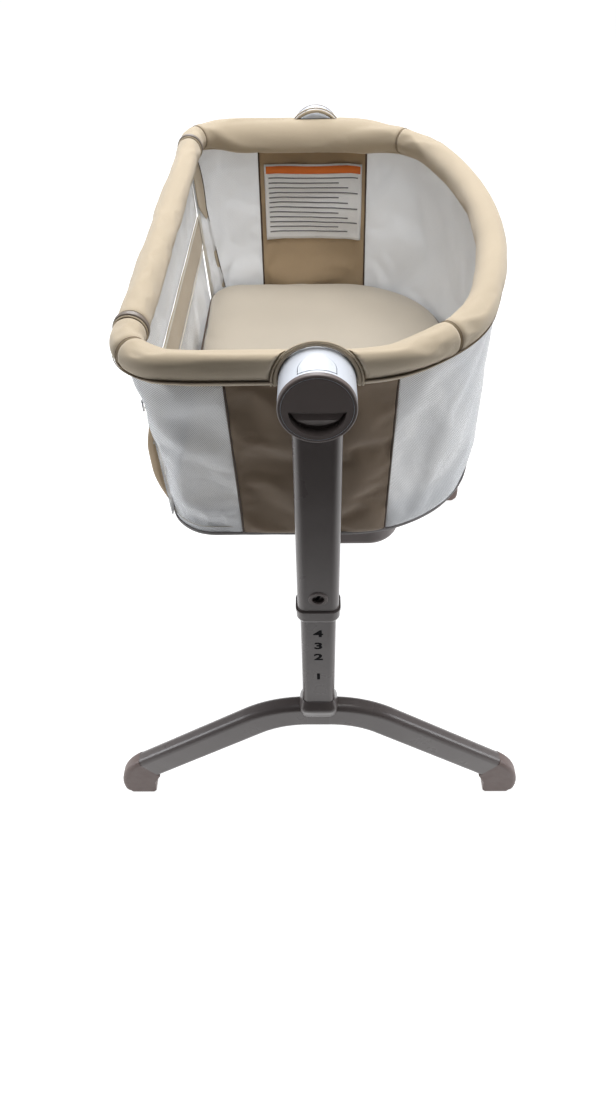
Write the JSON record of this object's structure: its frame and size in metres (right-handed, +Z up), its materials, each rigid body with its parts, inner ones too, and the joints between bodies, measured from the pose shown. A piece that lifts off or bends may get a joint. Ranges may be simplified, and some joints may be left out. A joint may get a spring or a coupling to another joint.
{
  "type": "bassinet on stand",
  "caption": "D-shaped bedside bassinet with padded rim, mesh walls and a drop side, hung between height-adjustable posts on arched feet.",
  "frame": {"origin": "on the floor, under the middle of the whole object at rest (highest setting)", "axes": "+Z up; Y along the length, front end at -Y; -X the straight drop side, +X the bowed side"},
  "size_m": [0.712, 0.86, 0.908],
  "materials": {
    "stand_paint": "satin powder coat",
    "grey_plastic": "fine moulded satin",
    "white_plastic": "soft gloss",
    "rubber": "matt",
    "plated_steel": "zinc plated",
    "frame_steel": "powder coat",
    "nylon": "natural nylon",
    "socket_plastic": "satin",
    "rim_fabric": "fine plain weave over foam",
    "panel_fabric": "plain weave",
    "mesh_fabric": "open knitted mesh",
    "mattress_cover": "soft jersey",
    "floor_fabric": "coated oxford cloth",
    "board": "plain fibreboard",
    "zip_tape": "zip tape with nylon coil",
    "label_cloth": "satin label"
  },
  "bodies": {
    "stand": {"front_foot_tube": "stand_paint", "rear_foot_tube": "stand_paint", "front_post_plug": "plated_steel", "rear_post_plug": "plated_steel", "front_lower_post": "stand_paint", "rear_lower_post": "stand_paint", "foot_shoes": "grey_plastic", "foot_pads": "rubber", "post_bolts": "plated_steel"},
    "front_upper": {"front_upper_post": "stand_paint", "front_post_collar": "grey_plastic", "front_window_ring": "grey_plastic", "front_hub_housing": "white_plastic", "front_hub_axle": "plated_steel", "front_hub_cap": "grey_plastic", "front_button_spring": "plated_steel"},
    "front_pin": {"front_lock_pin": "plated_steel"},
    "front_paddle": {"front_lift_paddle": "grey_plastic"},
    "front_button": {"front_swing_button": "white_plastic"},
    "rear_upper": {"rear_upper_post": "stand_paint", "rear_post_collar": "grey_plastic", "rear_window_ring": "grey_plastic", "rear_hub_housing": "white_plastic", "rear_hub_axle": "plated_steel", "rear_hub_cap": "grey_plastic", "rear_button_spring": "plated_steel"},
    "rear_pin": {"rear_lock_pin": "plated_steel"},
    "rear_paddle": {"rear_lift_paddle": "grey_plastic"},
    "rear_button": {"rear_swing_button": "white_plastic"},
    "bassinet": {"rim_tube": "frame_steel", "rail_sockets": "socket_plastic", "front_hub_bracket": "frame_steel", "rear_hub_bracket": "frame_steel", "front_hub_bush": "nylon", "rear_hub_bush": "nylon", "front_end_pad": "rim_fabric", "rear_end_pad": "rim_fabric", "front_corner_pad": "rim_fabric", "rear_corner_pad": "rim_fabric", "front_pad_arch": "rim_fabric", "rear_pad_arch": "rim_fabric", "front_end_panel": "panel_fabric", "rear_end_panel": "panel_fabric", "front_corner_mesh": "mesh_fabric", "rear_corner_mesh": "mesh_fabric", "side_pad": "rim_fabric", "lower_frame": "frame_steel", "floor_board": "board", "mattress": "mattress_cover", "side_mesh": "mesh_fabric", "lower_side_mesh": "mesh_fabric", "side_strip": "rim_fabric", "side_zips": "zip_tape", "storage_pocket": "panel_fabric", "safety_label": "label_cloth", "bottom_fabric": "floor_fabric", "floor_pod": "grey_plastic"},
    "drop_side": {"rail_tube": "frame_steel", "rail_pad": "rim_fabric", "drop_mesh": "mesh_fabric"}
  },
  "joints": [
    {"name": "front_height", "type": "slide", "parent": "stand", "child": "front_upper", "axis": [0, 0, 1], "range_m": [-0.183, 0]},
    {"name": "rear_height", "type": "slide", "parent": "stand", "child": "rear_upper", "axis": [0, 0, 1], "range_m": [-0.183, 0]},
    {"name": "bassinet_swing", "type": "hinge", "parent": "front_upper", "child": "bassinet", "pos_m": [0, -0.3615, 0.86], "axis": [0, 1, 0], "range_deg": [-8, 8]},
    {"name": "drop_side_fold", "type": "hinge", "parent": "bassinet", "child": "drop_side", "pos_m": [-0.2114, 0, 0.767], "axis": [0, -1, 0], "range_deg": [0, 150]},
    {"name": "front_swing_button", "type": "slide", "parent": "front_upper", "child": "front_button", "axis": [0, 0, -1], "range_m": [0, 0.0035], "stiffness_N_per_m": 900, "springref_m": -0.001, "deforming": ["front_button_spring"]},
    {"name": "front_lift_paddle", "type": "hinge", "parent": "front_upper", "child": "front_paddle", "pos_m": [0, -0.4245, 0.855], "axis": [-1, 0, 0], "range_deg": [0, 13]},
    {"name": "front_lock_pin", "type": "slide", "parent": "front_upper", "child": "front_pin", "axis": [0, -1, 0], "range_m": [0, 0.005], "stiffness_N_per_m": 400, "springref_m": -0.008},
    {"name": "rear_swing_button", "type": "slide", "parent": "rear_upper", "child": "rear_button", "axis": [0, 0, -1], "range_m": [0, 0.0035], "stiffness_N_per_m": 900, "springref_m": -0.001, "deforming": ["rear_button_spring"]},
    {"name": "rear_lift_paddle", "type": "hinge", "parent": "rear_upper", "child": "rear_paddle", "pos_m": [0, 0.4245, 0.855], "axis": [1, 0, 0], "range_deg": [0, 13]},
    {"name": "rear_lock_pin", "type": "slide", "parent": "rear_upper", "child": "rear_pin", "axis": [0, 1, 0], "range_m": [0, 0.005], "stiffness_N_per_m": 400, "springref_m": -0.008}
  ],
  "couplings": [
    {"joint": "rear_height", "follows": "front_height", "ratio": 1},
    {"joint": "front_lift_paddle", "follows": "front_lock_pin", "rad_per_m": 45.37},
    {"joint": "rear_lift_paddle", "follows": "rear_lock_pin", "rad_per_m": 45.37}
  ]
}
